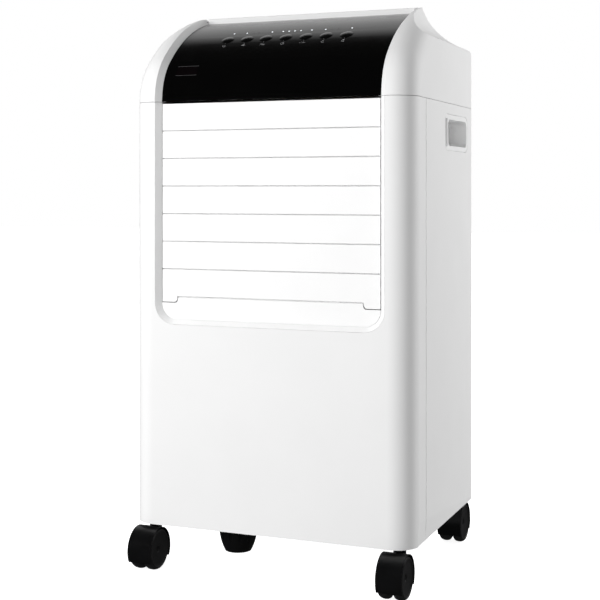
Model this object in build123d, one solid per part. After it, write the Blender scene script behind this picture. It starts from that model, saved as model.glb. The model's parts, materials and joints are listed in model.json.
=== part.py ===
from build123d import *
from math import cos, degrees, radians, sin
import os

# Portable evaporative air cooler on four twin-wheel casters.
# Millimetres, +Z up, front facing -Y. Origin: on the floor, under the middle of the object.

# ---- body ----
BODY_W = 362.0
Y_FRONT = -139.0
Y_REAR = 161.0
Z_BOTTOM = 56.0
Z_SEAM = 574.0
Y_SEAM = -84.5
R_FRONT = 29.0
R_REAR = 35.0
WALL = 2.5
SEAM_GAP = 0.5
REBATE_W = 0.7
REBATE_DEPTH = 0.8
X_SIDE = BODY_W / 2

# ---- top cover: front profile is two tangent arcs, from upright to the ridge ----
R_LOWER = 78.5
R_UPPER = 229.5
BLEND_ANGLE = 45.0
RIDGE_ANGLE = 10.3
RIDGE_HALF = 150.0
Z_DECK = 652.0
Z_ABOVE = 760.0
R_SCOOP = 79.0
R_DECK_EDGE = 8.0
Y_DECK_START = -20.0
SKIRT_TILT = 3.0
SKIRT_Z = (81.0, 60.0)
SKIRT_Y = (-84.5, 125.0)

# ---- control panel, let in below the rim of the cover ----
PANEL_DEPTH = 6.5
PANEL_T = 2.5
PANEL_HALF = 141.5
RIM_HALF = 148.0
PANEL_LENGTH = 185.0
BUTTON_X = [-78.1, -51.8, -26.3, 0.3, 26.8, 53.1, 79.4]
BUTTON_S = 101.5
BUTTON_R = 8.0
BUTTON_TRAVEL = 0.9
BUTTON_TALL = 9.0
DOME_R = 24.0
DOME_H = 1.6
LED_S = 120.3
LED_R = 1.0
LED_LIT_X = [-76.5, -58.9, -24.5, -9.8, -1.9, 5.9, 13.9, 28.2, 46.4, 80.9]
LED_DARK_X = [-51.1, -42.6, 54.3, 63.2]
WINDOW_X = (-127.0, -98.0)
WINDOW_S = (34.0, 47.0)

# ---- louvers ----
LOUVERS = 7
LOUVER_PITCH = 33.8
LOUVER_GAP = 0.9
LOUVER_T = 2.4
LOUVER_HALF = 140.4
Y_LOUVER = -132.7
Z_LOUVER_TOP = 572.0
PIVOT_BACK = 6.2
Y_PIVOT = Y_LOUVER + PIVOT_BACK
PIN_R = 2.0
PIN_FIT = 0.06
CRANK_R = 12.0
CRANK_X = (149.2, 151.4)
LINK_X = (152.0, 154.6)
LINK_PIN_R = 1.5
LINK_HOLE_R = 1.9
DRIVEN_LOUVER = LOUVERS // 2
LOUVER_SHAFT_X = -155.0
FRAME_HALF = 147.6
FRAME_DEPTH = 29.0
Z_FRAME = 302.0
Z_RECESS = 307.5
Z_FASCIA = 334.4
NOTCH_W = 22.0
NOTCH_Z = 328.0
NOTCH_R = 4.0
TAB_GAP = 1.0
LIP_DROP = 2.3
LIP_T = 1.2
LIP_GAP = 0.4
GROOVE_W = 0.7
GROOVE_DEPTH = 1.0

# ---- upright vanes behind the louvers ----
VANES = 5
VANE_PITCH = 44.0
VANE_CHORD = 24.0
VANE_T = 2.0
Y_VANE = -94.0
VANE_FRAME_HALF = 141.0
VANE_FRAME_T = 3.0
VANE_FRAME_Y = (-100.0, -81.0)
VANE_FRAME_Z = (308.0, 573.0)
VANE_CRANK = 9.0
VANE_SHAFT_Z = 299.0

# ---- fan ----
Z_FAN = 441.0
FAN_R = 117.0
DUCT_R = 122.0
HUB_R = 30.0
FAN_BLADES = 7
FAN_Y = (-64.0, -34.0)
MOTOR_R = 42.0
MOTOR_Y = (-28.0, 22.0)
BRACKET_Y = (-20.0, -15.0)
DUCT_WALL = 3.0
SHAFT_R = 4.0
SHAFT_FIT = 0.03

# ---- pad, water and rear openings ----
PAD_HALF = 130.0
PAD_Y = (96.0, 136.0)
PAD_Z = (298.0, 560.0)
GRILLE_HALF = 128.0
GRILLE_Z = (285.0, 565.0)
TANK_HALF = 135.0
TANK_Y = (-40.0, 155.0)
TANK_Z = (66.0, 230.0)
DOOR_HALF = 139.0
DOOR_Z = (64.0, 236.0)
DOOR_T = 6.0
LATCH_Z = 252.0
LATCH_POCKET_R = 25.0
LATCH_POCKET_Y = 157.8
LATCH_REACH = 15.5
LATCH_HALF_W = 4.0
PUMP_X = 112.0
PUMP_Y = 130.0
HOSE_R = 5.0

# ---- hand grips in the sides ----
GRIP_Y = (13.0, 104.0)
GRIP_Z = (521.0, 554.0)
GRIP_R = 8.0
GRIP_DEPTH = 22.0
BEZEL_Y = (-1.0, 110.0)
BEZEL_Z = (514.5, 560.5)
BEZEL_R = 12.0
BEZEL_T = 5.0
BEZEL_EDGE = 0.8
BEZEL_FIT = 0.2
SCOOP_Y = (1.5, 11.0)
SCOOP_DEPTH = 3.0

# ---- casters ----
CASTER_X = 158.5
WHEEL_R = 25.0
HOOD_R = 26.6
HOOD_HALF = 15.5
TRAIL = 18.0
FRONT_STEM_Y = -116.0
REAR_STEM_Y = 144.0
STEM_R = 4.5
STEM_TOP = 78.0
HOOD_TOP = 51.6
HOOD_FOOT = 12.0
AXLE_R = 3.0

# ---- drain plug under the front of the base ----
DRAIN_X = -55.0
DRAIN_Y = -96.0


def box(x0, x1, y0, y1, z0, z1):
    """Block between two corners."""
    return Pos((x0 + x1) / 2, (y0 + y1) / 2, (z0 + z1) / 2) * Box(x1 - x0, y1 - y0, z1 - z0)


def rod_x(radius, x0, x1, y, z):
    return Pos((x0 + x1) / 2, y, z) * Rot(0, 90, 0) * Cylinder(radius, x1 - x0)


def rod_y(radius, y0, y1, x, z):
    return Pos(x, (y0 + y1) / 2, z) * Rot(90, 0, 0) * Cylinder(radius, y1 - y0)


def rod_z(radius, z0, z1, x, y):
    return Pos(x, y, (z0 + z1) / 2) * Cylinder(radius, z1 - z0)


def mirrored(part):
    """The same part on the other side of the YZ plane."""
    return mirror(part, about=Plane.YZ)


def save(name, part):
    part.label = name
    export_step(part, "parts/" + name + ".step")


# ------------------------------------------------------------------ outer shells
def body_plan(inset):
    """Outline of the body seen from above, shrunk by inset."""
    x = X_SIDE - inset
    front = Y_FRONT + inset
    rear = Y_REAR - inset
    face = Pos(0, (front + rear) / 2) * Rectangle(2 * x, rear - front)
    face = fillet(face.vertices().sort_by(Axis.Y)[:2], R_FRONT - inset)
    return fillet(face.vertices().sort_by(Axis.Y)[-2:], R_REAR - inset)


def body_column(inset, z0, z1):
    return extrude(Pos(0, 0, z0) * body_plan(inset), z1 - z0)


def recess_face(half, z_low, radius):
    """Front opening outline in XZ: square at the top, rounded at the two lower corners."""
    outline = Pos(0, (z_low + Z_SEAM) / 2) * Rectangle(2 * half, Z_SEAM - z_low)
    return fillet(outline.vertices().sort_by(Axis.Y)[:2], radius)


def recess_prism(half, z_low, radius, y0, y1):
    plane = Plane(origin=(0, y1, 0), x_dir=(1, 0, 0), z_dir=(0, -1, 0))
    return extrude(plane * recess_face(half, z_low, radius), y1 - y0)


def skirt_cut():
    """Wedge that tilts the foot of the right side inward, below a line that falls to the rear."""
    run = SKIRT_Y[1] - SKIRT_Y[0]
    fall = (SKIRT_Z[1] - SKIRT_Z[0]) / run
    along = Vector(0, 1, fall).normalized()
    outward = Vector(1, 0, 0).rotate(Axis((0, 0, 0), along), SKIRT_TILT)
    plane = Plane(origin=(X_SIDE, SKIRT_Y[0], SKIRT_Z[0]), x_dir=along, z_dir=outward)
    return extrude(plane * Rectangle(900, 300), 20) & box(150, 220, -115, Y_REAR + 1, 50, 120)


def front_housing():
    shell = body_column(0, Z_BOTTOM, Z_SEAM - SEAM_GAP) - body_column(WALL, Z_BOTTOM, Z_SEAM)
    shell -= skirt_cut() + mirrored(skirt_cut()) + seam_rebate()
    shell -= box(-X_SIDE, X_SIDE, Y_SEAM - SEAM_GAP, Y_REAR, Z_BOTTOM, Z_SEAM)
    return shell - recess_prism(FRAME_HALF, Z_FRAME, R_FRONT - 3, Y_FRONT - 1, Y_FRONT + 10)


def grip_block(span_y, span_z, radius, x0, x1):
    """Rounded block through the right side wall, over the given spans in y and z."""
    centre = (x0, sum(span_y) / 2, sum(span_z) / 2)
    plane = Plane(origin=centre, x_dir=(0, 1, 0), z_dir=(1, 0, 0))
    return extrude(plane * RectangleRounded(span_y[1] - span_y[0], span_z[1] - span_z[0], radius), x1 - x0)


def grown(span, amount):
    return (span[0] - amount, span[1] + amount)


def seam_rebate():
    """Shallow step along the upright seams between the front and rear housing."""
    skin = body_column(0, Z_BOTTOM, Z_SEAM) - body_column(REBATE_DEPTH, Z_BOTTOM - 1, Z_SEAM + 1)
    return skin & box(-X_SIDE, X_SIDE, Y_SEAM - SEAM_GAP - REBATE_W, Y_SEAM + REBATE_W, Z_BOTTOM, Z_SEAM)


def rear_housing():
    shell = body_column(0, Z_BOTTOM, Z_SEAM - SEAM_GAP) - body_column(WALL, Z_BOTTOM, Z_SEAM)
    shell -= skirt_cut() + mirrored(skirt_cut()) + seam_rebate()
    shell -= box(-X_SIDE, X_SIDE, Y_FRONT, Y_SEAM, Z_BOTTOM, Z_SEAM)
    boss_y = Y_REAR - DOOR_T
    shell += rod_y(LATCH_POCKET_R + 3, boss_y, Y_REAR, 0, LATCH_Z)
    shell -= rod_y(LATCH_POCKET_R, LATCH_POCKET_Y, Y_REAR + 1, 0, LATCH_Z)
    shell -= rod_y(2.5 + PIN_FIT, boss_y - 1, Y_REAR, 0, LATCH_Z)
    gap = 0.5
    shell -= box(-DOOR_HALF - gap, DOOR_HALF + gap, boss_y - 5, Y_REAR + 1,
                 DOOR_Z[0] - gap, DOOR_Z[1] + gap)
    shell -= box(-GRILLE_HALF, GRILLE_HALF, boss_y, Y_REAR + 1, GRILLE_Z[0], GRILLE_Z[1])
    shell -= rod_y(9, boss_y, Y_REAR + 1, -110, 262)
    opening = grip_block(BEZEL_Y, BEZEL_Z, BEZEL_R, X_SIDE - 10, X_SIDE + 1)
    return shell - opening - mirrored(opening)


def base_pan():
    pan = body_column(WALL, Z_BOTTOM, Z_BOTTOM + 3)
    pan += body_column(WALL, Z_BOTTOM, Z_BOTTOM + 6) - body_column(2 * WALL, Z_BOTTOM, Z_BOTTOM + 6)
    for x in (-CASTER_X, CASTER_X):
        for y in (FRONT_STEM_Y, REAR_STEM_Y):
            pan += rod_z(10, Z_BOTTOM, STEM_TOP + 3, x, y)
            pan -= rod_z(STEM_R + PIN_FIT, Z_BOTTOM, STEM_TOP + 0.3, x, y)
    pan = pan & body_column(WALL, Z_BOTTOM, Z_SEAM)
    pan += rod_z(14, Z_BOTTOM, Z_BOTTOM + 8, DRAIN_X, DRAIN_Y)
    return pan - rod_z(8 + PIN_FIT, Z_BOTTOM, Z_BOTTOM + 8, DRAIN_X, DRAIN_Y)


# ------------------------------------------------------------------ top cover and panel
LOWER_C = (Y_FRONT + R_LOWER, Z_SEAM)
UPPER_C = (LOWER_C[0] + (R_UPPER - R_LOWER) * cos(radians(BLEND_ANGLE)),
           LOWER_C[1] - (R_UPPER - R_LOWER) * sin(radians(BLEND_ANGLE)))


def lower_point(rise, depth):
    """Point (y, z) on the lower arc, rise degrees above the seam, depth below the rim."""
    radius = R_LOWER - depth
    return (LOWER_C[0] - radius * cos(radians(rise)), LOWER_C[1] + radius * sin(radians(rise)))


def upper_point(slope, depth):
    """Point (y, z) on the upper arc where the surface slopes by slope degrees."""
    radius = R_UPPER - depth
    return (UPPER_C[0] - radius * sin(radians(slope)), UPPER_C[1] + radius * cos(radians(slope)))


def slope_at(s):
    """Slope of the panel at the distance s along it from the seam, past the lower arc."""
    lower = (R_LOWER - PANEL_DEPTH) * radians(BLEND_ANGLE)
    return BLEND_ANGLE - degrees((s - lower) / (R_UPPER - PANEL_DEPTH))


def panel_plane(x, s):
    """Plane on the panel surface at x and s, its normal pointing out of the panel."""
    slope = slope_at(s)
    y, z = upper_point(slope, PANEL_DEPTH)
    normal = (0, -sin(radians(slope)), cos(radians(slope)))
    return Plane(origin=(x, y, z), x_dir=(1, 0, 0), z_dir=normal)


def profile_edges(depth, end_slope):
    """The two arcs of the front profile at a depth below the rim, in the YZ plane."""
    lower = ThreePointArc(lower_point(0, depth), lower_point(BLEND_ANGLE / 2, depth),
                          lower_point(BLEND_ANGLE, depth))
    middle = (BLEND_ANGLE + end_slope) / 2
    upper = ThreePointArc(upper_point(BLEND_ANGLE, depth), upper_point(middle, depth),
                          upper_point(end_slope, depth))
    return [lower, upper]


def cover_solid(inset):
    """Solid of the top cover, shrunk by inset: profile, side rounding, rear and end scoops."""
    half = X_SIDE - inset
    rear = Y_REAR - inset
    top = upper_point(0, inset)
    start = lower_point(0, inset)
    outline = profile_edges(inset, 0)
    outline += [Line(top, (rear, top[1])), Line((rear, top[1]), (rear, Z_SEAM)),
                Line((rear, Z_SEAM), start)]
    solid = extrude(Plane.YZ * make_face(outline), half, both=True)
    sides = solid.edges().filter_by(lambda e: abs(abs(e.center().X) - half) < 0.01)
    front = sides.filter_by(lambda e: e.center().Z > Z_SEAM + 1 and e.center().Y < rear - 1)
    solid = fillet(front, R_FRONT - inset)
    solid -= rear_scoop(inset) + end_scoop(inset) + mirrored(end_scoop(inset))
    solid &= body_column(inset, Z_SEAM, Z_ABOVE)
    return solid + deck_solid(inset)


def deck_solid(inset):
    """Rear half of the cover: the body outline up to the deck, with a rounded upper edge."""
    deck = body_column(inset, Z_SEAM, Z_DECK - inset)
    rim = deck.faces().sort_by(Axis.Z)[-1].edges()
    deck = fillet(rim, R_DECK_EDGE - inset)
    return deck - box(-X_SIDE, X_SIDE, Y_FRONT, Y_DECK_START, Z_SEAM, Z_ABOVE)


def rear_scoop(inset):
    """Hollow behind the ridge that runs down to the rear deck."""
    crest = upper_point(RIDGE_ANGLE, 0)
    deck = Z_DECK - inset
    foot_y = crest[0] - inset + (R_SCOOP ** 2 - (R_SCOOP - (crest[1] - Z_DECK)) ** 2) ** 0.5
    centre = (foot_y, deck + R_SCOOP)
    start = (crest[0] - inset, crest[1] - inset)
    middle = (centre[0] - R_SCOOP * sin(radians(30)), centre[1] - R_SCOOP * cos(radians(30)))
    high = Z_ABOVE
    foot = (foot_y, deck)
    low = Z_SEAM + 20
    back = Y_REAR + 20
    outline = [Line((start[0], high), start), ThreePointArc(start, middle, foot), Line(foot, (foot_y, low)),
               Line((foot_y, low), (back, low)), Line((back, low), (back, high)),
               Line((back, high), (start[0], high))]
    return extrude(Plane.YZ * make_face(outline), X_SIDE + 10, both=True)


def end_scoop(inset):
    """Hollow that takes the end of the ridge down to the side of the deck."""
    step = inset * 0.8
    start = (RIDGE_HALF - step, 694.0)
    middle = (160.0 - step, 667.5 - step)
    end = (179.0 - step, 649.5 - step)
    far = 220.0
    high = Z_ABOVE
    outline = [ThreePointArc(start, middle, end), Line(end, (far, Z_DECK - 20)),
               Line((far, Z_DECK - 20), (far, high)), Line((far, high), (start[0], high)),
               Line((start[0], high), start)]
    plane = Plane(origin=(0, Y_REAR + 20, 0), x_dir=(1, 0, 0), z_dir=(0, -1, 0))
    return extrude(plane * make_face(outline), 260)


def band_face(depth, outer, end_slope):
    """Face in YZ from the profile at a depth out to a profile further out."""
    inner = profile_edges(depth, end_slope)
    shell = profile_edges(outer, end_slope)
    ends = [Line(lower_point(0, depth), lower_point(0, outer)),
            Line(upper_point(end_slope, depth), upper_point(end_slope, outer))]
    return make_face(inner + shell + ends)


def band(depth, outer, end_slope, half):
    return extrude(Plane.YZ * band_face(depth, outer, end_slope), half, both=True)


def rim_bevel():
    """Sloping cut between the rim of the cover and the panel, on the right side."""
    end = slope_at(PANEL_LENGTH)
    near = Plane(origin=(PANEL_HALF, 0, 0), x_dir=(0, 1, 0), z_dir=(1, 0, 0))
    far = Plane(origin=(RIM_HALF + 1, 0, 0), x_dir=(0, 1, 0), z_dir=(1, 0, 0))
    sections = [near * band_face(PANEL_DEPTH, -4, end), far * band_face(-1, -4, RIDGE_ANGLE - 2)]
    return loft(sections, ruled=True)


def rim_backing():
    """Thick strips under the rim on both sides, which the sloping cuts go into."""
    strip = band(WALL, PANEL_DEPTH + WALL, slope_at(PANEL_LENGTH), RIM_HALF)
    return strip - band(WALL - 1, PANEL_DEPTH + WALL + 1, 0, PANEL_HALF)


def top_cover():
    end = slope_at(PANEL_LENGTH)
    cover = cover_solid(0)
    cover -= cover_solid(WALL) & box(-X_SIDE, X_SIDE, Y_FRONT, Y_REAR, Z_SEAM, Z_ABOVE)
    ledge = PANEL_DEPTH + PANEL_T
    cover += band(WALL, ledge + WALL, end - 0.6, PANEL_HALF + 2) + rim_backing()
    cover -= band(-4, ledge, end, PANEL_HALF)
    cover -= band(-4, 20, slope_at(PANEL_LENGTH - 6), PANEL_HALF - 4)
    cover -= rim_bevel()
    return cover - mirrored(rim_bevel())


def button_places():
    return [panel_plane(x, BUTTON_S) for x in BUTTON_X]


def control_panel():
    end = slope_at(PANEL_LENGTH - 0.3)
    panel = band(PANEL_DEPTH, PANEL_DEPTH + PANEL_T, end, PANEL_HALF - 0.2)
    panel &= box(-X_SIDE, X_SIDE, Y_FRONT, Y_REAR, Z_SEAM + 0.3, Z_ABOVE)
    for place in button_places():
        panel -= place * Cylinder(BUTTON_R + 0.25, 12)
    for x in LED_LIT_X + LED_DARK_X:
        panel -= panel_plane(x, LED_S) * Cylinder(LED_R, 12)
    return panel - window_band(PANEL_DEPTH - 1, PANEL_DEPTH + 1, 0)


def window_band(outer, inner, inset):
    """Strip of the lower arc where the receiver window is let in."""
    radius = R_LOWER - PANEL_DEPTH
    rise = [degrees(s / radius) for s in (WINDOW_S[0] + inset, WINDOW_S[1] - inset)]
    middle = sum(rise) / 2
    edges = [ThreePointArc(lower_point(rise[0], outer), lower_point(middle, outer),
                           lower_point(rise[1], outer)),
             Line(lower_point(rise[1], outer), lower_point(rise[1], inner)),
             ThreePointArc(lower_point(rise[1], inner), lower_point(middle, inner),
                           lower_point(rise[0], inner)),
             Line(lower_point(rise[0], inner), lower_point(rise[0], outer))]
    plane = Plane(origin=(WINDOW_X[0] + inset, 0, 0), x_dir=(0, 1, 0), z_dir=(1, 0, 0))
    return extrude(plane * make_face(edges), WINDOW_X[1] - WINDOW_X[0] - 2 * inset)


def receiver_window():
    return window_band(PANEL_DEPTH, PANEL_DEPTH + 1, 0.2)


def button(place):
    """Round key: domed cap with a wider foot under the panel."""
    cap = Pos(0, 0, DOME_H - BUTTON_TALL / 2) * Cylinder(BUTTON_R, BUTTON_TALL)
    cap &= Pos(0, 0, DOME_H - DOME_R) * Sphere(DOME_R)
    cap += Pos(0, 0, DOME_H - BUTTON_TALL + 0.75) * Cylinder(BUTTON_R + 1.5, 1.5)
    return place * cap


def indicators(places):
    """Light pipes standing in the holes of the panel, flush with its face."""
    return Compound([panel_plane(x, LED_S) * Pos(0, 0, -2.5) * Cylinder(LED_R - 0.03, 5.0) for x in places])


def control_board():
    """Circuit board under the panel with a tactile switch below each key."""
    middle = panel_plane(0, 108)
    board_depth = 14.0
    board = middle * Pos(0, 0, -board_depth) * Box(230, 58, 1.6)
    switch_top = BUTTON_TALL - DOME_H + BUTTON_TRAVEL + 0.2
    for place in button_places():
        board += place * Pos(0, 0, -(switch_top + board_depth) / 2) * Box(6, 6, board_depth - switch_top)
    for x in (-105, 105):
        board += middle * Pos(x, 24, -11.6) * Cylinder(2.5, 5.0)
    return board


# ------------------------------------------------------------------ louvers
def louver_z(index):
    """Height of the pivot of a louver, counted from the bottom."""
    return Z_LOUVER_TOP - LOUVER_PITCH * (LOUVERS - index - 0.5)


def corner_block(x0, x1, y0, y1, z0, z1):
    """Block with its lower edge on the side of the middle plane rounded."""
    block = box(x0, x1, y0, y1, z0, z1)
    inner = block.edges().filter_by(Axis.Y).sort_by(Axis.X)[:2].sort_by(Axis.Z)[0]
    return fillet(inner, NOTCH_R)


def louver_lip(z_edge):
    """Strip behind the lower edge of a blade that laps over the blade or fascia below."""
    y0 = Y_LOUVER + LOUVER_T + LIP_GAP
    strip = box(-LOUVER_HALF, LOUVER_HALF, y0, y0 + LIP_T, z_edge - LIP_DROP, z_edge + 3)
    return strip + box(-LOUVER_HALF, LOUVER_HALF, Y_LOUVER + 1.5, y0 + LIP_T, z_edge + 1.5, z_edge + 3)


def louver_frame():
    frame = recess_prism(FRAME_HALF - 0.2, Z_FRAME + 0.2, R_FRONT - 3.2, Y_FRONT, Y_FRONT + FRAME_DEPTH)
    outer = Plane(origin=(0, Y_FRONT - 0.01, 0), x_dir=(1, 0, 0), z_dir=(0, -1, 0))
    inner = Plane(origin=(0, Y_LOUVER, 0), x_dir=(1, 0, 0), z_dir=(0, -1, 0))
    mouth = [outer * recess_face(FRAME_HALF - 0.2, Z_FRAME + 0.2, R_FRONT - 3.2),
             inner * recess_face(PANEL_HALF, Z_RECESS, 20)]
    frame -= loft(mouth, ruled=True)
    back = Y_FRONT + FRAME_DEPTH + 1
    frame -= box(-PANEL_HALF, PANEL_HALF, Y_LOUVER - 1, back, Z_FASCIA, Z_SEAM)
    frame -= recess_prism(PANEL_HALF, Z_RECESS, 20, Y_LOUVER + LOUVER_T, back)
    notch = corner_block(PANEL_HALF - NOTCH_W, PANEL_HALF, Y_LOUVER - 1, back, NOTCH_Z, Z_SEAM)
    frame -= notch
    frame -= mirrored(notch)
    groove = recess_prism(PANEL_HALF, Z_RECESS, 20, Y_LOUVER - 1, Y_LOUVER + GROOVE_DEPTH)
    groove -= recess_prism(PANEL_HALF - GROOVE_W, Z_RECESS + GROOVE_W, 20 - GROOVE_W, Y_LOUVER - 2, back)
    frame -= groove
    frame -= box(-X_SIDE, X_SIDE, Y_FRONT - 1, back, Z_SEAM - SEAM_GAP, Z_SEAM + 1)
    for i in range(LOUVERS):
        frame -= rod_x(PIN_R + PIN_FIT, -FRAME_HALF, FRAME_HALF, Y_PIVOT, louver_z(i))
    return frame


def louver(index):
    """Blade with two end lugs, pivot pins and, on the right, the crank outside the frame."""
    z = louver_z(index)
    half = (LOUVER_PITCH - LOUVER_GAP) / 2
    blade = box(-LOUVER_HALF, LOUVER_HALF, Y_LOUVER, Y_LOUVER + LOUVER_T, z - half, z + half)
    long_edges = blade.edges().filter_by(Axis.X)
    blade = fillet(long_edges, 0.9)
    blade += louver_lip(z - half)
    if index == 0:
        tab = corner_block(PANEL_HALF - NOTCH_W + TAB_GAP, LOUVER_HALF, Y_LOUVER, Y_LOUVER + LOUVER_T,
                           NOTCH_Z + TAB_GAP, z)
        blade += tab
        blade += mirrored(tab)
    for side in (-1, 1):
        x0, x1 = sorted((side * (LOUVER_HALF - 3), side * LOUVER_HALF))
        blade += box(x0, x1, Y_LOUVER + 1, Y_PIVOT, z - 4, z + 4) + rod_x(4, x0, x1, Y_PIVOT, z)
    pin_end = LOUVER_SHAFT_X if index == DRIVEN_LOUVER else -FRAME_HALF
    blade += rod_x(PIN_R, pin_end, CRANK_X[1], Y_PIVOT, z)
    arm = box(CRANK_X[0], CRANK_X[1], Y_PIVOT, Y_PIVOT + CRANK_R, z - 3, z + 3)
    arm += rod_x(4, CRANK_X[0], CRANK_X[1], Y_PIVOT, z)
    arm += rod_x(3, CRANK_X[0], CRANK_X[1], Y_PIVOT + CRANK_R, z)
    return blade + arm + rod_x(LINK_PIN_R, CRANK_X[0], LINK_X[1] + 1, Y_PIVOT + CRANK_R, z)


def louver_link():
    """Upright bar that joins the cranks, so that all blades turn together."""
    y = Y_PIVOT + CRANK_R
    bar = box(LINK_X[0], LINK_X[1], y - 3.5, y + 3.5, louver_z(0) - 4, louver_z(LOUVERS - 1) + 4)
    bar -= rod_x(LINK_PIN_R + PIN_FIT, LINK_X[0], LINK_X[1], y, louver_z(0))
    for i in range(1, LOUVERS):
        bar -= rod_x(LINK_HOLE_R, LINK_X[0], LINK_X[1], y, louver_z(i))
    return bar


def swing_motors():
    """Two small geared motors: one turns a louver, one turns a vane."""
    z = louver_z(DRIVEN_LOUVER)
    first = rod_x(11, -161.5, -151.5, Y_PIVOT + 6, z)
    first += box(-153, -151.5, Y_PIVOT + 1, Y_PIVOT + 15, z - 18, z + 18)
    for low in (z - 18, z + 14):
        first += box(-153, -FRAME_HALF + 0.2, Y_PIVOT + 5, Y_PIVOT + 15, low, low + 4)
    first -= rod_x(PIN_R + PIN_FIT, LOUVER_SHAFT_X - 0.3, -150, Y_PIVOT, z)
    x = vane_x(VANES - 1)
    low = VANE_FRAME_Z[0]
    second = rod_z(10, 293, 304, x, Y_VANE + 6) + box(x - 18, x + 18, Y_VANE - 4, Y_VANE + 12, 304, low)
    second -= rod_z(PIN_R + PIN_FIT, VANE_SHAFT_Z - 0.3, low, x, Y_VANE)
    return Compound([first, second])


# ------------------------------------------------------------------ vanes and fan
def vane_x(index):
    return VANE_PITCH * (index - (VANES - 1) / 2)


def vane_frame():
    y0, y1 = VANE_FRAME_Y
    z0, z1 = VANE_FRAME_Z
    inner = VANE_FRAME_HALF - VANE_FRAME_T
    frame = box(-VANE_FRAME_HALF, VANE_FRAME_HALF, y0, y1, z0, z1)
    frame -= box(-inner, inner, y0 - 1, y1 + 1, z0 + VANE_FRAME_T, z1 - VANE_FRAME_T)
    for i in range(VANES):
        frame -= rod_z(PIN_R + PIN_FIT, z0, z1, vane_x(i), Y_VANE)
    return frame


def vane(index):
    x = vane_x(index)
    low = VANE_FRAME_Z[0] + 11
    high = VANE_FRAME_Z[1] - 5
    blade = box(x - VANE_T / 2, x + VANE_T / 2, Y_VANE - VANE_CHORD / 2, Y_VANE + VANE_CHORD / 2, low, high)
    blade += rod_z(3, low, high, x, Y_VANE)
    pin_end = VANE_SHAFT_Z if index == VANES - 1 else VANE_FRAME_Z[0] + 0.2
    blade += rod_z(PIN_R, pin_end, VANE_FRAME_Z[1] - 0.2, x, Y_VANE)
    blade += box(x - 2.5, x + 2.5, Y_VANE, Y_VANE + VANE_CRANK + 2, low - 2.5, low)
    return blade + rod_z(LINK_PIN_R, low - 7.0, low - 1, x, Y_VANE + VANE_CRANK)


def vane_link():
    y = Y_VANE + VANE_CRANK
    low = VANE_FRAME_Z[0] + 4.5
    bar = box(vane_x(0) - 6, vane_x(VANES - 1) + 6, y - 3.2, y + 3.2, low, low + 2.5)
    bar -= rod_z(LINK_PIN_R + PIN_FIT, low, low + 2.5, vane_x(0), y)
    for i in range(1, VANES):
        bar -= rod_z(LINK_HOLE_R, low, low + 2.5, vane_x(i), y)
    return bar


def fan_duct():
    front = VANE_FRAME_Y[1]
    duct = box(-VANE_FRAME_HALF, VANE_FRAME_HALF, front, front + DUCT_WALL, VANE_FRAME_Z[0], VANE_FRAME_Z[1])
    duct += rod_y(DUCT_R + DUCT_WALL, front, BRACKET_Y[0], 0, Z_FAN)
    return duct - rod_y(DUCT_R, front - 1, BRACKET_Y[0] + 1, 0, Z_FAN)


def impeller():
    """Axial fan: hub and pitched blades, trimmed to the tip circle."""
    y0, y1 = FAN_Y
    middle = (y0 + y1) / 2
    fan = rod_y(HUB_R, y0, y1, 0, Z_FAN)
    for i in range(FAN_BLADES):
        blade = Pos(0, middle, Z_FAN) * Rot(0, i * 360 / FAN_BLADES, 0)
        blade = blade * Pos(0, 0, (HUB_R + FAN_R) / 2) * Rot(0, 0, 52) * Box(2.2, 34, FAN_R - HUB_R + 8)
        fan += blade
    fan &= rod_y(FAN_R, y0 - 6, y1 + 2, 0, Z_FAN)
    fan -= rod_y(HUB_R - 4, y0 + 4, y1 + 3, 0, Z_FAN) - rod_y(9, y0, y1, 0, Z_FAN)
    return fan - rod_y(SHAFT_R + SHAFT_FIT, y0 + 4, y1 + 3, 0, Z_FAN)


def fan_motor():
    motor = rod_y(MOTOR_R, MOTOR_Y[0], MOTOR_Y[1], 0, Z_FAN)
    motor = fillet(motor.edges(), 5)
    motor += rod_y(12, MOTOR_Y[0] - 3, MOTOR_Y[0] + 1, 0, Z_FAN)
    return motor + rod_y(SHAFT_R, FAN_Y[0] + 5, MOTOR_Y[0] + 1, 0, Z_FAN)


def motor_bracket():
    """Ring on the duct with four arms that carry the motor."""
    y0, y1 = BRACKET_Y
    ring = rod_y(DUCT_R + DUCT_WALL, y0, y1, 0, Z_FAN) - rod_y(DUCT_R - 2, y0 - 1, y1 + 1, 0, Z_FAN)
    for angle in (45, 135, 225, 315):
        arm = Pos(0, (y0 + y1) / 2, Z_FAN) * Rot(0, angle, 0) * Pos(0, 0, (MOTOR_R + DUCT_R) / 2)
        ring += arm * Box(10, y1 - y0, DUCT_R - MOTOR_R)
    ring += rod_y(MOTOR_R + 3, y0, y1, 0, Z_FAN)
    return ring - rod_y(MOTOR_R, y0 - 1, y1 + 1, 0, Z_FAN)


# ------------------------------------------------------------------ pad, filter, grille
def cooling_pad():
    return box(-PAD_HALF, PAD_HALF, PAD_Y[0] + 2, PAD_Y[1] - 2, PAD_Z[0], PAD_Z[1])


def pad_frame():
    wall = 4.0
    frame = box(-PAD_HALF - wall, PAD_HALF + wall, PAD_Y[0], PAD_Y[1], PAD_Z[0] - wall, PAD_Z[1] + wall)
    frame -= box(-PAD_HALF, PAD_HALF, PAD_Y[0] + 2, PAD_Y[1] - 2, PAD_Z[0], PAD_Z[1])
    lip = 6.0
    return frame - box(-PAD_HALF + lip, PAD_HALF - lip, PAD_Y[0] - 1, PAD_Y[1] + 1,
                       PAD_Z[0] + lip, PAD_Z[1] - lip)


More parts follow.
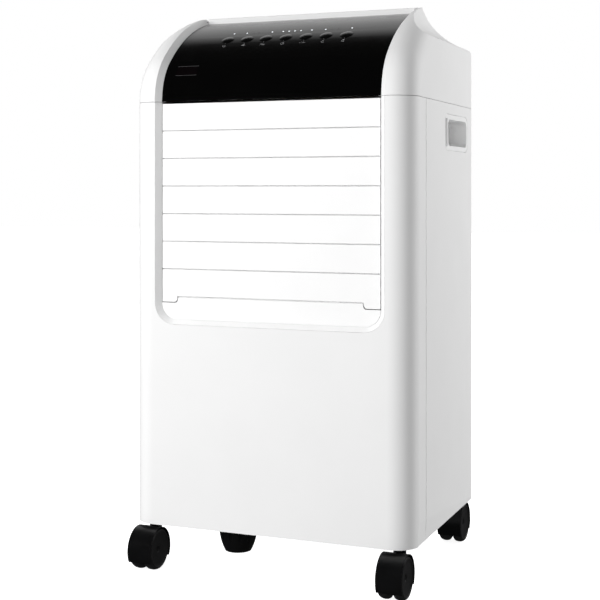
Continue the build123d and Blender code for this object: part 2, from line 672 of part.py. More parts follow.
def water_distributor():
    """Open trough above the pad with a row of drip holes."""
    low = PAD_Z[1] + 4
    trough = box(-PAD_HALF, PAD_HALF, PAD_Y[0] + 2, PAD_Y[1] - 2, low, low + 20)
    trough -= box(-PAD_HALF + 2, PAD_HALF - 2, PAD_Y[0] + 4, PAD_Y[1] - 4, low + 2, low + 21)
    middle = (PAD_Y[0] + PAD_Y[1]) / 2
    for i in range(12):
        trough -= rod_z(2, low - 1, low + 3, -PAD_HALF + 16 + i * 20.7, middle)
    return trough


def rear_grille():
    gap = 0.4
    half = GRILLE_HALF - gap
    z0 = GRILLE_Z[0] + gap
    z1 = GRILLE_Z[1] - gap
    border = 9.0
    grille = box(-half, half, Y_REAR - 4, Y_REAR, z0, z1)
    grille -= box(-half + border, half - border, Y_REAR - 5, Y_REAR + 1, z0 + border, z1 - border)
    slats = 19
    pitch = (z1 - z0 - 2 * border) / (slats + 1)
    for i in range(1, slats + 1):
        z = z0 + border + i * pitch
        grille += box(-half + 2, half - 2, Y_REAR - 4, Y_REAR - 0.5, z - 1.6, z + 1.6)
    for x in (-60, 0, 60):
        grille += box(x - 2, x + 2, Y_REAR - 4, Y_REAR - 0.8, z0 + 2, z1 - 2)
    for x in (-half + 4.5, half - 4.5):
        for z in (z0 + 4.5, z1 - 4.5):
            grille -= rod_y(3.2, Y_REAR - 2, Y_REAR + 1, x, z)
    return grille


def grille_screws():
    half = GRILLE_HALF - 4.9
    heads = []
    for x in (-half, half):
        for z in (GRILLE_Z[0] + 4.9, GRILLE_Z[1] - 4.9):
            head = rod_y(3.1, Y_REAR - 2, Y_REAR - 0.2, x, z)
            head -= box(x - 2.4, x + 2.4, Y_REAR - 1.0, Y_REAR, z - 0.4, z + 0.4)
            head -= box(x - 0.4, x + 0.4, Y_REAR - 1.0, Y_REAR, z - 2.4, z + 2.4)
            heads.append(head)
    return Compound(heads)


def dust_filter():
    half = GRILLE_HALF - 4
    y0, y1 = 152.0, 155.0
    z0, z1 = GRILLE_Z[0] + 4, GRILLE_Z[1] - 4
    screen = box(-half, half, y0, y1, z0, z1) - box(-half + 5, half - 5, y0 - 1, y1 + 1, z0 + 5, z1 - 5)
    for i in range(1, 10):
        x = -half + i * 2 * half / 10
        z = z0 + i * (z1 - z0) / 10
        screen += box(x - 0.8, x + 0.8, y0 + 0.7, y1 - 0.7, z0 + 1, z1 - 1)
        screen += box(-half + 1, half - 1, y0 + 0.7, y1 - 0.7, z - 0.8, z + 0.8)
    return screen


# ------------------------------------------------------------------ water
def water_tank():
    """Drawer open at the top, with a door flush in the rear face and a finger pull."""
    wall = 3.0
    y0, y1 = TANK_Y
    z0, z1 = TANK_Z
    tank = box(-TANK_HALF, TANK_HALF, y0, y1, z0, z1)
    tank -= box(-TANK_HALF + wall, TANK_HALF - wall, y0 + wall, y1, z0 + wall, z1 + 1)
    door = box(-DOOR_HALF, DOOR_HALF, y1, Y_REAR, DOOR_Z[0], DOOR_Z[1])
    door -= rod_y(LATCH_POCKET_R, LATCH_POCKET_Y, Y_REAR + 1, 0, LATCH_Z)
    tank += door
    tank += box(-48, 48, y1 - 20, y1, 170, 204)
    tank -= box(-45, 45, y1 - 17, Y_REAR + 1, 173, 201)
    return tank - box(100, 112, Y_REAR - 2.5, Y_REAR + 1, 90, 200)


def level_window():
    return box(100.1, 111.9, Y_REAR - 2.5, Y_REAR, 90.1, 199.9)


def tank_latch():
    """Turn latch, at rest turned clear of the tank door; a quarter turn down locks the door."""
    y0, y1 = LATCH_POCKET_Y + 0.3, Y_REAR - 0.4
    latch = rod_y(8, y0, y1, 0, LATCH_Z)
    latch += box(0, LATCH_REACH, y0, y1, LATCH_Z - LATCH_HALF_W, LATCH_Z + LATCH_HALF_W)
    latch += rod_y(LATCH_HALF_W, y0, y1, LATCH_REACH, LATCH_Z)
    latch -= box(-1, 1, y1 - 1.2, y1 + 1, LATCH_Z - 6, LATCH_Z + 6)
    return latch + rod_y(2.5, Y_REAR - DOOR_T - 3, y0 + 1, 0, LATCH_Z)


def pump():
    """Submersible pump on a hanger that is fixed under the pad frame."""
    x, y = PUMP_X, PUMP_Y
    body = box(x - 16, x + 16, y - 18, y + 18, 74, 122)
    body += box(x - 12, x - 8, y - 8, y + 8, 121, PAD_Z[0] - 4)
    body += box(x - 14, x - 4, y - 8, y + 5, PAD_Z[0] - 8, PAD_Z[0] - 4)
    for i in range(5):
        body -= box(x - 17, x + 17, y - 19, y - 16, 78 + i * 6, 81 + i * 6)
    return body + rod_z(3.95, 121, 132, x + 2, y)


def pump_hose():
    """Hose from the pump up beside the pad frame and over into the trough."""
    x = PUMP_X + 2
    side = 147.0
    top = 600.0
    route = [(x, PUMP_Y, 124), (x, PUMP_Y, 258), (side, PUMP_Y, 282), (side, PUMP_Y, top),
             (120, PUMP_Y - 12, top), (120, PUMP_Y - 12, 572)]
    path = FilletPolyline(*route, radius=[14, 14, 13, 10])
    ring = Plane(origin=route[0], z_dir=(0, 0, 1)) * (Circle(HOSE_R) - Circle(HOSE_R - 1))
    return sweep(ring, path=path)


def drain_plug():
    """Round plug with a bayonet neck: wide flange, curved sides and flutes for the fingers."""
    edges = [Line((0, 24), (16, 24)), ThreePointArc((16, 24), (21.5, 38), (23.5, 51)),
             Line((23.5, 51), (23.5, 55.4)), Line((23.5, 55.4), (8, 55.4)), Line((8, 55.4), (8, 66)),
             Line((8, 66), (0, 66)), Line((0, 66), (0, 24))]
    plug = revolve(Plane.XZ * make_face(edges), Axis.Z)
    for i in range(12):
        plug -= Rot(0, 0, i * 30) * rod_z(2.2, 20, 49, 23.2, 0)
    return Pos(DRAIN_X, DRAIN_Y, 0) * plug


# ------------------------------------------------------------------ fittings
def hand_grips():
    """Two cups let into the side walls, each with a bezel flush with the wall and a scoop in front."""
    floor = X_SIDE - GRIP_DEPTH
    bezel = grip_block(grown(BEZEL_Y, -BEZEL_FIT), grown(BEZEL_Z, -BEZEL_FIT), BEZEL_R - BEZEL_FIT,
                       X_SIDE - BEZEL_T, X_SIDE)
    bezel = chamfer(bezel.faces().sort_by(Axis.X)[-1].edges(), BEZEL_EDGE)
    cup = bezel + grip_block(grown(GRIP_Y, 2), grown(GRIP_Z, 2), GRIP_R + 2, floor - 2, X_SIDE - 1)
    cup -= grip_block(GRIP_Y, GRIP_Z, GRIP_R, floor, X_SIDE + 1)
    corners = [(X_SIDE, SCOOP_Y[0]), (X_SIDE + 1, SCOOP_Y[0]), (X_SIDE + 1, SCOOP_Y[1]),
               (X_SIDE - SCOOP_DEPTH, SCOOP_Y[1])]
    scoop = extrude(Pos(0, 0, GRIP_Z[0] - 1) * make_face(Polyline(*corners, close=True)),
                    GRIP_Z[1] - GRIP_Z[0] + 2)
    cup -= scoop
    return Compound([cup, mirrored(cup)])


def cord_gland():
    gland = rod_y(8.95, Y_REAR - 20, Y_REAR, -110, 262) + rod_y(12, Y_REAR - 6, Y_REAR - WALL, -110, 262)
    return gland - rod_y(4.0, Y_REAR - 21, Y_REAR + 1, -110, 262)


def power_module():
    """Closed box with the mains board, on the inner left side."""
    case = box(-X_SIDE + WALL, -146, 10, 80, 300, 400)
    return fillet(case.edges().filter_by(Axis.X), 4)


# ------------------------------------------------------------------ casters
def caster_hood():
    """Hood and stem of a twin-wheel caster, wheel axis at the origin's y and the stem behind it."""
    hood = rod_x(HOOD_R, -HOOD_HALF, HOOD_HALF, 0, WHEEL_R)
    hood -= box(-HOOD_HALF - 1, HOOD_HALF + 1, -HOOD_R - 1, HOOD_R + 1, -3, HOOD_FOOT)
    hood += rod_z(7.5, 30, HOOD_TOP, 0, TRAIL)
    for side in (-1, 1):
        x0, x1 = sorted((side * 2.0, side * (HOOD_HALF + 1)))
        hood -= rod_x(WHEEL_R + 0.5, x0, x1, 0, WHEEL_R)
    hood += rod_x(WHEEL_R - 5, -2, 2, 0, WHEEL_R) & box(-3, 3, -HOOD_R, HOOD_R, HOOD_FOOT, HOOD_TOP)
    hood += rod_z(STEM_R, HOOD_TOP - 2, STEM_TOP, 0, TRAIL)
    axle_hole = rod_x(AXLE_R, -3, 3, 0, WHEEL_R)
    return hood - axle_hole


def caster_axle():
    return rod_x(AXLE_R, -12, 12, 0, WHEEL_R)


def caster_wheels():
    """Two dished wheels with rounded treads."""
    wheel = rod_x(WHEEL_R, 2.6, HOOD_HALF, 0, WHEEL_R)
    wheel = fillet(wheel.edges(), 2.5)
    wheel -= rod_x(WHEEL_R - 4, 1, 9.5, 0, WHEEL_R) - rod_x(6, 2.6, 10, 0, WHEEL_R)
    wheel -= rod_x(WHEEL_R - 4.5, HOOD_HALF - 1.2, HOOD_HALF + 1, 0, WHEEL_R)
    wheel -= rod_x(AXLE_R + PIN_FIT, 1, 12.2, 0, WHEEL_R)
    return Compound([wheel, mirrored(wheel)])


def casters():
    places = {"front_left": (-CASTER_X, FRONT_STEM_Y), "front_right": (CASTER_X, FRONT_STEM_Y),
              "rear_left": (-CASTER_X, REAR_STEM_Y), "rear_right": (CASTER_X, REAR_STEM_Y)}
    for corner, (x, y) in places.items():
        place = Pos(x, y - TRAIL, 0)
        save("caster_hood_" + corner, Compound([place * caster_hood(), place * caster_axle()]))
        save("caster_wheels_" + corner, place * caster_wheels())


def main():
    os.makedirs("parts", exist_ok=True)
    single = [front_housing, rear_housing, base_pan, top_cover, control_panel, receiver_window,
              control_board, louver_frame, louver_link, swing_motors, vane_frame, vane_link, fan_duct,
              impeller, fan_motor, motor_bracket, cooling_pad, pad_frame, water_distributor,
              rear_grille, grille_screws, dust_filter, water_tank, level_window, tank_latch, pump,
              pump_hose, drain_plug, hand_grips, cord_gland, power_module]
    for make in single:
        save(make.__name__, make())
    save("indicators_lit", indicators(LED_LIT_X))
    save("indicators_dark", indicators(LED_DARK_X))
    for i in range(LOUVERS):
        save("louver_" + str(i + 1), louver(i))
    for i in range(VANES):
        save("vane_" + str(i + 1), vane(i))
    for i, place in enumerate(button_places()):
        save("button_" + str(i + 1), button(place))
    casters()


main()
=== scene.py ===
import json
import math

import bmesh
import bpy
from mathutils import Matrix, Vector
from mathutils.bvhtree import BVHTree


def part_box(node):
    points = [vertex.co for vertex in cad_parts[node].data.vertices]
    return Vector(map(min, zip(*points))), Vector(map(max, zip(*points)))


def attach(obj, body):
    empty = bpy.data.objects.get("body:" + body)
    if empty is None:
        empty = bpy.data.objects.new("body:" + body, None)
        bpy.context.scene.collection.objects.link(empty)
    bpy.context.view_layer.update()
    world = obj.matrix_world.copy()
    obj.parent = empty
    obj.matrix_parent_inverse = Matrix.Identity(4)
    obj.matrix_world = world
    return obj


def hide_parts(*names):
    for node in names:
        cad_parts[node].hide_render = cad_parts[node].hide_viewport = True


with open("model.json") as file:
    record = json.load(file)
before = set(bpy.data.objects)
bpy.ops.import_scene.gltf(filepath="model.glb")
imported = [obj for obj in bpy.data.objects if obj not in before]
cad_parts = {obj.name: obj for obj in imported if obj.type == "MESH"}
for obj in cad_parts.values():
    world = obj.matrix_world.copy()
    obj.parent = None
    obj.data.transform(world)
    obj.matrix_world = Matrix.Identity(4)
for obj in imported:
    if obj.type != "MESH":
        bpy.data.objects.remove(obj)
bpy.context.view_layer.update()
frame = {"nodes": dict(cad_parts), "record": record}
NODES = frame["nodes"]
MM = 0.001


# ------------------------------------------------------------------ camera, light and floor
def make_camera():
    data = bpy.data.cameras.new("camera")
    data.sensor_width = 36.0
    data.lens = 75.8
    data.shift_y = -0.1831
    camera = bpy.data.objects.new("camera", data)
    camera.location = (0.5921, -1.5110, 0.4657)
    camera.rotation_euler = (math.radians(90), 0, math.radians(21.783))
    bpy.context.collection.objects.link(camera)
    bpy.context.scene.camera = camera


def area_light(name, place, target, size, power):
    """Soft box that lights the surfaces evenly and isn't mirrored in their gloss."""
    data = bpy.data.lights.new(name, "AREA")
    data.shape = "RECTANGLE"
    data.size, data.size_y = size
    data.energy = power
    light = bpy.data.objects.new(name, data)
    light.location = place
    aim = Vector(target) - Vector(place)
    light.rotation_euler = aim.to_track_quat("-Z", "Y").to_euler()
    light.visible_glossy = False
    bpy.context.collection.objects.link(light)


def make_lights():
    area_light("key_left", (-1.35, -1.75, 1.0), (0, 0, 0.50), (0.7, 1.1), 41)
    area_light("side_right_rear", (1.45, 1.6, 1.1), (0, 0, 0.52), (0.7, 1.1), 49)
    area_light("front_fill", (0.1, -1.7, 0.8), (0, 0, 0.45), (0.6, 0.6), 5)


def direction_part(nodes, links, axis, low, high):
    """0 to 1 ramp over one component of the direction that a ray looks in."""
    coords = nodes.new("ShaderNodeTexCoord").outputs["Generated"]
    split = nodes.new("ShaderNodeSeparateXYZ")
    links.new(coords, split.inputs["Vector"])
    ramp = nodes.new("ShaderNodeMapRange")
    ramp.interpolation_type = "SMOOTHSTEP"
    ramp.inputs["From Min"].default_value = low
    ramp.inputs["From Max"].default_value = high
    links.new(split.outputs[axis], ramp.inputs["Value"])
    return ramp.outputs["Result"]


def make_world():
    """White backdrop, dimmer overhead; in gloss only a soft glow above and behind shows."""
    world = bpy.data.worlds.new("studio")
    world.use_nodes = True
    nodes, links = world.node_tree.nodes, world.node_tree.links
    soft = nodes["Background"]
    soft.inputs["Color"].default_value = (1, 1, 1, 1)
    fade = direction_part(nodes, links, "Z", 0.9, 0.1)
    dim = nodes.new("ShaderNodeMapRange")
    dim.inputs["To Min"].default_value = 0.14
    dim.inputs["To Max"].default_value = 0.52
    links.new(fade, dim.inputs["Value"])
    links.new(dim.outputs["Result"], soft.inputs["Strength"])
    seen = nodes.new("ShaderNodeBackground")
    seen.inputs["Color"].default_value = (1, 1, 1, 1)
    seen.inputs["Strength"].default_value = 1.0
    gloss = nodes.new("ShaderNodeBackground")
    gloss.inputs["Color"].default_value = (1, 1, 1, 1)
    behind = direction_part(nodes, links, "Y", 0.36, 0.58)
    height = direction_part(nodes, links, "Z", 0.2, 0.55)
    level = nodes.new("ShaderNodeMapRange")
    level.inputs["To Min"].default_value = 0.02
    level.inputs["To Max"].default_value = 0.95
    links.new(height, level.inputs["Value"])
    both = nodes.new("ShaderNodeMath")
    both.operation = "MULTIPLY_ADD"
    links.new(behind, both.inputs[0])
    links.new(level.outputs["Result"], both.inputs[1])
    both.inputs[2].default_value = 0.02
    links.new(both.outputs["Value"], gloss.inputs["Strength"])
    path = nodes.new("ShaderNodeLightPath")
    first = nodes.new("ShaderNodeMixShader")
    links.new(path.outputs["Is Glossy Ray"], first.inputs["Fac"])
    links.new(soft.outputs["Background"], first.inputs[1])
    links.new(gloss.outputs["Background"], first.inputs[2])
    second = nodes.new("ShaderNodeMixShader")
    links.new(path.outputs["Is Camera Ray"], second.inputs["Fac"])
    links.new(first.outputs["Shader"], second.inputs[1])
    links.new(seen.outputs["Background"], second.inputs[2])
    links.new(second.outputs["Shader"], nodes["World Output"].inputs["Surface"])
    bpy.context.scene.world = world
    bpy.context.scene.view_settings.view_transform = "Standard"


def make_floor():
    """White seamless floor, bright enough to run into the backdrop."""
    mesh = bpy.data.meshes.new("floor")
    half = 12.0
    mesh.from_pydata([(-half, -half, 0), (half, -half, 0), (half, half, 0), (-half, half, 0)], [],
                     [(0, 1, 2, 3)])
    floor = bpy.data.objects.new("floor", mesh)
    paint = plastic("floor_paint", (0.9, 0.9, 0.9), 0.01, 0.7, scale=3)
    shader = paint.node_tree.nodes["Principled BSDF"]
    shader.inputs["Emission Color"].default_value = (1, 1, 1, 1)
    shader.inputs["Emission Strength"].default_value = 0.9
    floor.data.materials.append(paint)
    floor.visible_diffuse = False
    floor.visible_glossy = False
    bpy.context.collection.objects.link(floor)


# ------------------------------------------------------------------ materials
def noise(nodes, links, coords, scale, detail=3.0):
    node = nodes.new("ShaderNodeTexNoise")
    node.inputs["Scale"].default_value = scale
    node.inputs["Detail"].default_value = detail
    links.new(coords, node.inputs["Vector"])
    return node.outputs["Fac"]


def spread(nodes, links, value, low, high):
    node = nodes.new("ShaderNodeMapRange")
    node.inputs["From Min"].default_value = 0.3
    node.inputs["From Max"].default_value = 0.7
    node.inputs["To Min"].default_value = low
    node.inputs["To Max"].default_value = high
    links.new(value, node.inputs["Value"])
    return node.outputs["Result"]


def tint(nodes, links, value, color, vary):
    """Colour that drifts by vary either way with a noise value."""
    node = nodes.new("ShaderNodeValToRGB")
    ramp = node.color_ramp.elements
    ramp[0].position, ramp[1].position = 0.35, 0.65
    ramp[0].color = [min(c * (1 - vary), 1) for c in color] + [1]
    ramp[1].color = [min(c * (1 + vary), 1) for c in color] + [1]
    links.new(value, node.inputs["Fac"])
    return node.outputs["Color"]


def plastic(name, color, vary, rough, rough_vary=0.04, scale=30, grain=0, depth=0, coat=0.0, metallic=0.0,
            level=0.5):
    """Moulded plastic or metal: cloudy colour, uneven gloss and, where asked for, a fine grain."""
    mat = bpy.data.materials.new(name)
    mat.use_nodes = True
    nodes, links = mat.node_tree.nodes, mat.node_tree.links
    shader = nodes["Principled BSDF"]
    coords = nodes.new("ShaderNodeTexCoord").outputs["Object"]
    cloud = noise(nodes, links, coords, scale)
    links.new(tint(nodes, links, cloud, color, vary), shader.inputs["Base Color"])
    smudge = noise(nodes, links, coords, scale * 2.7, 5)
    gloss = spread(nodes, links, smudge, rough - rough_vary, rough + rough_vary)
    links.new(gloss, shader.inputs["Roughness"])
    shader.inputs["Coat Weight"].default_value = coat
    shader.inputs["Coat Roughness"].default_value = 0.08
    shader.inputs["Metallic"].default_value = metallic
    shader.inputs["Specular IOR Level"].default_value = level
    if grain:
        bump = nodes.new("ShaderNodeBump")
        bump.inputs["Distance"].default_value = depth
        bump.inputs["Strength"].default_value = 0.6
        links.new(noise(nodes, links, coords, grain, 2), bump.inputs["Height"])
        links.new(bump.outputs["Normal"], shader.inputs["Normal"])
    return mat


def glow(name, color, strength):
    mat = plastic(name, color, 0.03, 0.3)
    shader = mat.node_tree.nodes["Principled BSDF"]
    shader.inputs["Emission Color"].default_value = list(color) + [1]
    shader.inputs["Emission Strength"].default_value = strength
    return mat


def make_materials():
    return {
        "white_gloss": plastic("white_gloss", (0.795, 0.795, 0.795), 0.006, 0.36, 0.02, 18, 900, 0.00003, 0.0,
                               level=0.3),
        "white_satin": plastic("white_satin", (0.88, 0.88, 0.88), 0.006, 0.34, 0.03, 22, 900, 0.00003, 0.15),
        "grey_plastic": plastic("grey_plastic", (0.62, 0.63, 0.64), 0.03, 0.5, 0.06, 25, 700, 0.00006),
        "panel_black": plastic("panel_black", (0.001, 0.001, 0.001), 0.1, 0.16, 0.015, 25, level=0.35),
        "button_black": plastic("button_black", (0.002, 0.002, 0.002), 0.1, 0.22, 0.02, 60, level=0.35),
        "window_black": plastic("window_black", (0.002, 0.0012, 0.0015), 0.1, 0.12, 0.01, 60, level=0.35),
        "mark_grey": plastic("mark_grey", (0.5, 0.5, 0.51), 0.05, 0.5, 0.05, 200),
        "line_grey": plastic("line_grey", (0.09, 0.09, 0.092), 0.05, 0.5, 0.05, 200),
        "lamp_lit": glow("lamp_lit", (0.9, 0.95, 1.0), 1.2),
        "lamp_dark": plastic("lamp_dark", (0.004, 0.004, 0.004), 0.1, 0.3, 0.03, 200, level=0.2),
        "board_green": plastic("board_green", (0.02, 0.14, 0.05), 0.15, 0.35, 0.05, 90),
        "impeller_grey": plastic("impeller_grey", (0.3, 0.32, 0.34), 0.04, 0.45, 0.05, 20, 500, 0.00005),
        "motor_steel": plastic("motor_steel", (0.45, 0.45, 0.45), 0.08, 0.38, 0.08, 60, 900, 0.00003, 0, 1.0),
        "pad_paper": plastic("pad_paper", (0.36, 0.24, 0.11), 0.2, 0.9, 0.05, 60, 300, 0.0004),
        "filter_mesh": plastic("filter_mesh", (0.06, 0.06, 0.065), 0.1, 0.7, 0.05, 60),
        "pump_black": plastic("pump_black", (0.02, 0.02, 0.021), 0.1, 0.5, 0.05, 40, 600, 0.00006),
        "hose_clear": plastic("hose_clear", (0.55, 0.55, 0.52), 0.04, 0.3, 0.04, 60),
        "clear_window": plastic("clear_window", (0.42, 0.53, 0.6), 0.03, 0.12, 0.02, 60, 0, 0, 0.5),
        "float_red": plastic("float_red", (0.5, 0.03, 0.015), 0.08, 0.35, 0.04, 120),
        "black_nylon": plastic("black_nylon", (0.004, 0.004, 0.0043), 0.12, 0.38, 0.05, 60, 800, 0.00004,
                               level=0.4),
        "wheel_black": plastic("wheel_black", (0.014, 0.014, 0.0145), 0.12, 0.4, 0.05, 60, 900, 0.00005,
                               level=0.5),
        "screw_steel": plastic("screw_steel", (0.5, 0.5, 0.5), 0.05, 0.3, 0.06, 300, 0, 0, 0, 1.0),
    }


def dress_frame(materials):
    """Gives every CAD node the material of its slot."""
    for entry in frame["record"]["subparts"]:
        for place in NODES[entry["node"]].material_slots:
            place.link = "OBJECT"
            place.material = materials[entry["material_slot"]]


# ------------------------------------------------------------------ helpers for pieces
def add_piece(name, mesh, material, body):
    piece = bpy.data.objects.new(name, mesh)
    mesh.materials.append(material)
    bpy.context.collection.objects.link(piece)
    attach(piece, body)
    return piece


def mesh_from(name, bm, smooth=True):
    bmesh.ops.recalc_face_normals(bm, faces=bm.faces)
    mesh = bpy.data.meshes.new(name)
    bm.to_mesh(mesh)
    bm.free()
    for face in mesh.polygons:
        face.use_smooth = smooth
    return mesh


def lathe(bm, profile, side, centre, steps=72):
    """Closed ring about an axis along X: profile points are (radius, distance from the middle) in mm."""
    rings = []
    for i in range(steps):
        angle = 2 * math.pi * i / steps
        c, s = math.cos(angle), math.sin(angle)
        spots = [Vector((side * x, r * c, r * s)) * MM + centre for r, x in profile]
        rings.append([bm.verts.new(p) for p in spots])
    for i, ring in enumerate(rings):
        after = rings[(i + 1) % steps]
        for k in range(len(profile)):
            n = (k + 1) % len(profile)
            bm.faces.new((ring[k], ring[n], after[n], after[k]))


def block(bm, low, high):
    """Thin bar between two corners, added to a mesh of many."""
    lo, hi = Vector(low), Vector(high)
    place = Matrix.Translation((lo + hi) / 2) @ Matrix.Diagonal((*(hi - lo), 1))
    bmesh.ops.create_cube(bm, size=1, matrix=place)


# ------------------------------------------------------------------ casters
# section of one wheel, as (radius, distance from the middle of the pair) in mm
WHEEL_PROFILE = [(3.3, 12.3), (5.0, 12.4), (5.6, 12.7), (9.0, 12.8), (13.0, 13.1), (17.0, 13.6),
                 (19.8, 14.2), (20.6, 14.6), (21.0, 15.2), (21.8, 15.45), (22.6, 15.2), (23.6, 14.2),
                 (24.5, 12.4), (24.98, 10.2), (24.98, 7.8), (24.6, 5.6), (23.8, 4.0), (22.4, 3.0),
                 (20.6, 2.6), (17.0, 2.6), (16.6, 4.0), (7.0, 4.6), (6.4, 2.7), (3.3, 2.7)]


def make_wheels():
    """Twin wheels with dished faces and rounded treads in place of the plain ones."""
    for end in ("front", "rear"):
        for side in ("left", "right"):
            corner = end + "_" + side
            node = "caster_wheels_" + corner
            lo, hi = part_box(node)
            bm = bmesh.new()
            for way in (-1, 1):
                lathe(bm, WHEEL_PROFILE, way, (lo + hi) / 2)
            piece = add_piece("dished_wheels_" + corner, mesh_from(node, bm), MATERIALS["wheel_black"],
                              "wheels_" + corner)
            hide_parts(node)


# ------------------------------------------------------------------ marks on the key panel
SIGN_SCALE = 1.2
SIGN_DROP = 15.1
# distance below a key's middle and half length of the painted glint: a light-grey dot standing in for the
# highlight on the key's lower rim
GLINT_DOT_DROP = 9.6
GLINT_DOT_HALF = 0.35
CAST_START = 0.003
MARK_LIFT = 0.00002
WINDOW_LIFT = 0.00003
WINDOW_OUTSET = 0.0004
WINDOW_STEPS = 6
FACING_LOW = Vector((0, -0.8905, 0.455))
FACING_HIGH = Vector((0, -0.794, 0.607))


def circle(x, y, r, start=0, sweep=360, steps=16):
    spots = [math.radians(start + sweep * i / steps) for i in range(steps + 1)]
    return [(x + r * math.cos(a), y + r * math.sin(a)) for a in spots]


# one sign a key, as strokes in mm: power, fan, waves, timer, level bars, drop, moon
PICTOGRAMS = [
    [circle(0, 0, 1.7, 125, 290), [(0, 0.5), (0, 2.1)]],
    [circle(0, 0, 0.5), circle(0, 1.4, 0.8, 250, 220), circle(1.2, -0.7, 0.8, 130, 220),
     circle(-1.2, -0.7, 0.8, 10, 220)],
    [[(-2.4, 0.8), (-1.2, 1.3), (0, 0.8), (1.2, 0.3), (2.4, 0.8)],
     [(-2.4, -0.8), (-1.2, -0.3), (0, -0.8), (1.2, -1.3), (2.4, -0.8)]],
    [circle(0, 0, 1.8), [(0, 1.2), (0, 0), (1.0, -0.4)]],
    [[(-2.8, -1.2), (-2.8, 1.0)], [(-1.4, -1.2), (-1.4, 1.4)], [(0, -1.2), (0, 1.6)],
     [(1.4, -1.2), (1.4, 1.4)], [(2.8, -1.2), (2.8, 1.0)]],
    [[(0, 2.0), (1.1, 0.4)] + circle(0, -0.5, 1.3, 20, -220, 12) + [(0, 2.0)]],
    [circle(0, 0, 1.7, 60, 240), circle(1.0, 0.5, 1.3, 100, 160)],
]


class Surface:
    """Finds the outer face of a CAD node under a point."""

    def __init__(self, node):
        self.tree = BVHTree.FromObject(NODES[node], bpy.context.evaluated_depsgraph_get())

    def at(self, point, outward, lift):
        hit = self.tree.ray_cast(point + outward * 0.01, -outward, 0.03)[0]
        return (hit if hit else point) + outward * lift


def stroke_curve(name, lines, radius, material, body):
    """Fine raised lines: one curve with a spline for each line."""
    curve = bpy.data.curves.new(name, "CURVE")
    curve.dimensions = "3D"
    curve.bevel_depth = radius
    curve.bevel_resolution = 2
    curve.use_fill_caps = True
    for line in lines:
        spline = curve.splines.new("POLY")
        spline.points.add(len(line) - 1)
        for spot, point in zip(spline.points, line):
            spot.co = (*point, 1)
    curve.materials.append(material)
    piece = bpy.data.objects.new(name, curve)
    bpy.context.collection.objects.link(piece)
    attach(piece, body)


def make_panel_marks():
    """A sign and a painted glint dot below each key, and a line along both long edges of the receiver window.
    """
    skin = Surface("control_panel")
    axis = [j for j in frame["record"]["behaviour"]["joints"] if j["name"] == "button_1_press"][0]["axis"]
    outward = -Vector(axis)
    uphill = outward.cross(Vector((1, 0, 0)))
    uphill = uphill if uphill.z > 0 else -uphill
    lines = []
    for i, shape in enumerate(PICTOGRAMS):
        lo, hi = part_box("button_%d" % (i + 1))
        middle = (lo + hi) / 2 + outward * CAST_START
        sign = middle - uphill * SIGN_DROP * MM
        for stroke in shape:
            spots = [sign + (Vector((x, 0, 0)) + uphill * y) * SIGN_SCALE * MM for x, y in stroke]
            lines.append([skin.at(p, outward, MARK_LIFT) for p in spots])
        # painted highlight: a short light-grey dash just below the key's lower rim, standing in for the glint
        # there; it shares one curve with the printed signs
        glint_dot = middle - uphill * GLINT_DOT_DROP * MM
        spots = [glint_dot + Vector((x * MM, 0, 0)) for x in (-GLINT_DOT_HALF, GLINT_DOT_HALF)]
        lines.append([skin.at(p, outward, MARK_LIFT) for p in spots])
    stroke_curve("panel_pictograms_and_glint_dots", lines, 0.00013, MATERIALS["mark_grey"], "root")
    lo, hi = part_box("receiver_window")
    rim = []
    edges = ((lo.y - WINDOW_OUTSET, lo.z, FACING_LOW), (hi.y + WINDOW_OUTSET, hi.z, FACING_HIGH))
    for y, z, facing in edges:
        row = [Vector((lo.x + (hi.x - lo.x) * k / WINDOW_STEPS, y, z)) for k in range(WINDOW_STEPS + 1)]
        rim.append([skin.at(p, facing, WINDOW_LIFT) for p in row])
    stroke_curve("window_lines", rim, 0.00016, MATERIALS["line_grey"], "root")


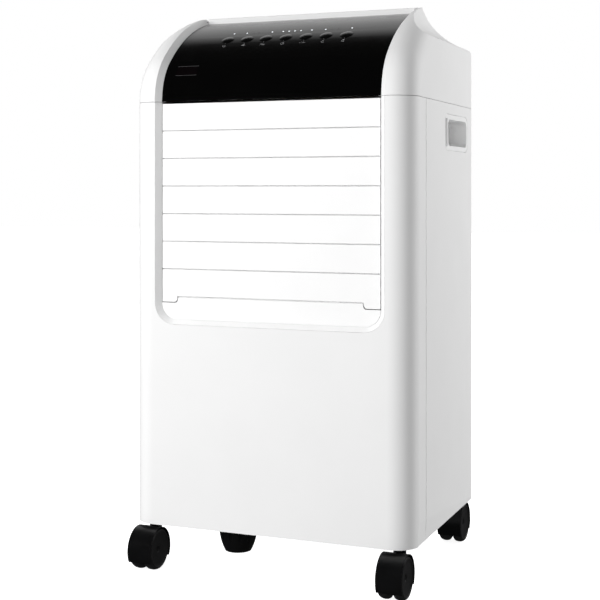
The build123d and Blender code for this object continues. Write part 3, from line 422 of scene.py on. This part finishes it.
# ------------------------------------------------------------------ pad, filter and level mark at the rear
def make_pad():
    """Corrugated sheets standing on edge, every other one turned the other way."""
    lo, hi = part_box("cooling_pad")
    pitch, wave, swing, thick = 0.0065, 0.013, 0.0022, 0.00035
    count = int((hi.x - lo.x - 2 * swing) / pitch)
    steps = int((hi.z - lo.z) / 0.0022)
    bm = bmesh.new()
    for i in range(count):
        x = lo.x + swing + thick + (i + 0.5) * (hi.x - lo.x - 2 * swing) / count
        turn = math.pi * (i % 2)
        rows = []
        for k in range(steps + 1):
            z = lo.z + (hi.z - lo.z) * k / steps
            bend = swing * math.sin(2 * math.pi * z / wave + turn)
            rows.append([bm.verts.new((x + bend + dx, y, z)) for dx, y in
                         ((-thick, lo.y), (thick, lo.y), (thick, hi.y), (-thick, hi.y))])
        for a, b in zip(rows, rows[1:]):
            for k in range(4):
                n = (k + 1) % 4
                bm.faces.new((a[k], a[n], b[n], b[k]))
        bm.faces.new(rows[0])
        bm.faces.new(rows[-1][::-1])
    mesh = mesh_from("corrugated_pad", bm, False)
    piece = add_piece("corrugated_pad", mesh, MATERIALS["pad_paper"], "root")
    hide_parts("cooling_pad")


def make_screen():
    """Fine woven screen in the dust filter's frame."""
    lo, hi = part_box("dust_filter")
    y = (lo.y + hi.y) / 2
    half, pitch, edge = 0.0002, 0.0032, 0.0046
    bm = bmesh.new()
    across = int((hi.x - lo.x - 2 * edge) / pitch)
    for i in range(1, across):
        x = lo.x + edge + i * (hi.x - lo.x - 2 * edge) / across
        block(bm, (x - half, y - half, lo.z + edge), (x + half, y + half, hi.z - edge))
    up = int((hi.z - lo.z - 2 * edge) / pitch)
    for i in range(1, up):
        z = lo.z + edge + i * (hi.z - lo.z - 2 * edge) / up
        block(bm, (lo.x + edge, y + half * 0.5, z - half), (hi.x - edge, y + half * 2.5, z + half))
    mesh = mesh_from("filter_screen", bm, False)
    piece = add_piece("filter_screen", mesh, MATERIALS["filter_mesh"], "root")


def make_level_marks():
    """Scale ticks and a red float line on the level window of the tank."""
    lo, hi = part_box("level_window")
    ticks, first, step, inset, level = 11, 0.08, 0.084, 0.0012, 0.72
    long_tick, short_tick, tick_radius, float_radius = 0.0062, 0.0036, 0.0003, 0.00115
    tick_depth, float_depth = 0.00031, 0.00118
    lines = []
    for i in range(ticks):
        z = lo.z + (hi.z - lo.z) * (first + step * i)
        length = long_tick if i % 5 == 0 else short_tick
        lines.append([Vector((hi.x - inset - k, hi.y - tick_depth, z)) for k in (0, length)])
    stroke_curve("level_ticks", lines, tick_radius, MATERIALS["panel_black"], "tank")
    z = lo.z + (hi.z - lo.z) * level
    line = [[Vector((x, hi.y - float_depth, z)) for x in (lo.x + 0.002, hi.x - 0.002)]]
    stroke_curve("level_float", line, float_radius, MATERIALS["float_red"], "tank")


MATERIALS = make_materials()
make_camera()
make_lights()
make_world()
make_floor()
dress_frame(MATERIALS)
make_wheels()
make_panel_marks()
make_pad()
make_screen()
make_level_marks()
